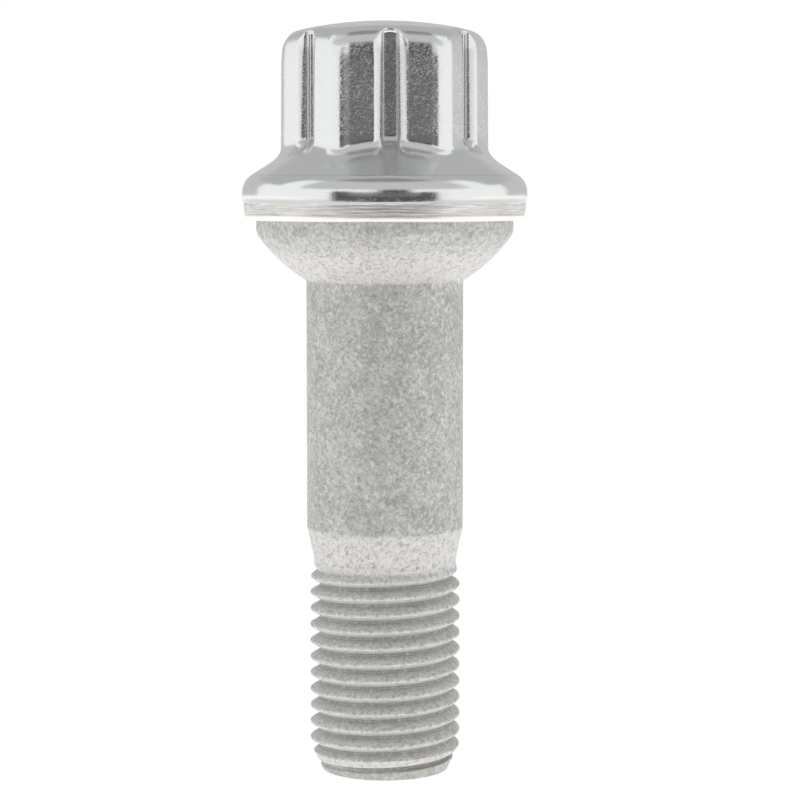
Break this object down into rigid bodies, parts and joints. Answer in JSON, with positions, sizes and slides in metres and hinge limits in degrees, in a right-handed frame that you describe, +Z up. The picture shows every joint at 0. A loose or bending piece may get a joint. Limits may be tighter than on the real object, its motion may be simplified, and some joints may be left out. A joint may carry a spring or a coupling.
{
  "type": "wheel bolt",
  "caption": "Steel wheel bolt with a ball seat, a right-hand fine thread and a polished drawn cap rolled on over its grooved hexagon head.",
  "frame": {"origin": "centre of the flat end face of the thread, at the lowest point of the bolt", "axes": "+Z runs up the bolt's axis from the thread to the top of the head; -Y is towards the viewer of the picture, near one flat of the hexagon"},
  "size_m": [0.026, 0.0258, 0.0684],
  "materials": {
    "zinc_flake_steel": "matte grey zinc-flake coating",
    "polished_sheet": "polished stainless sheet"
  },
  "bodies": {
    "root": {"bolt": "zinc_flake_steel", "head_cap": "polished_sheet"}
  },
  "joints": []
}
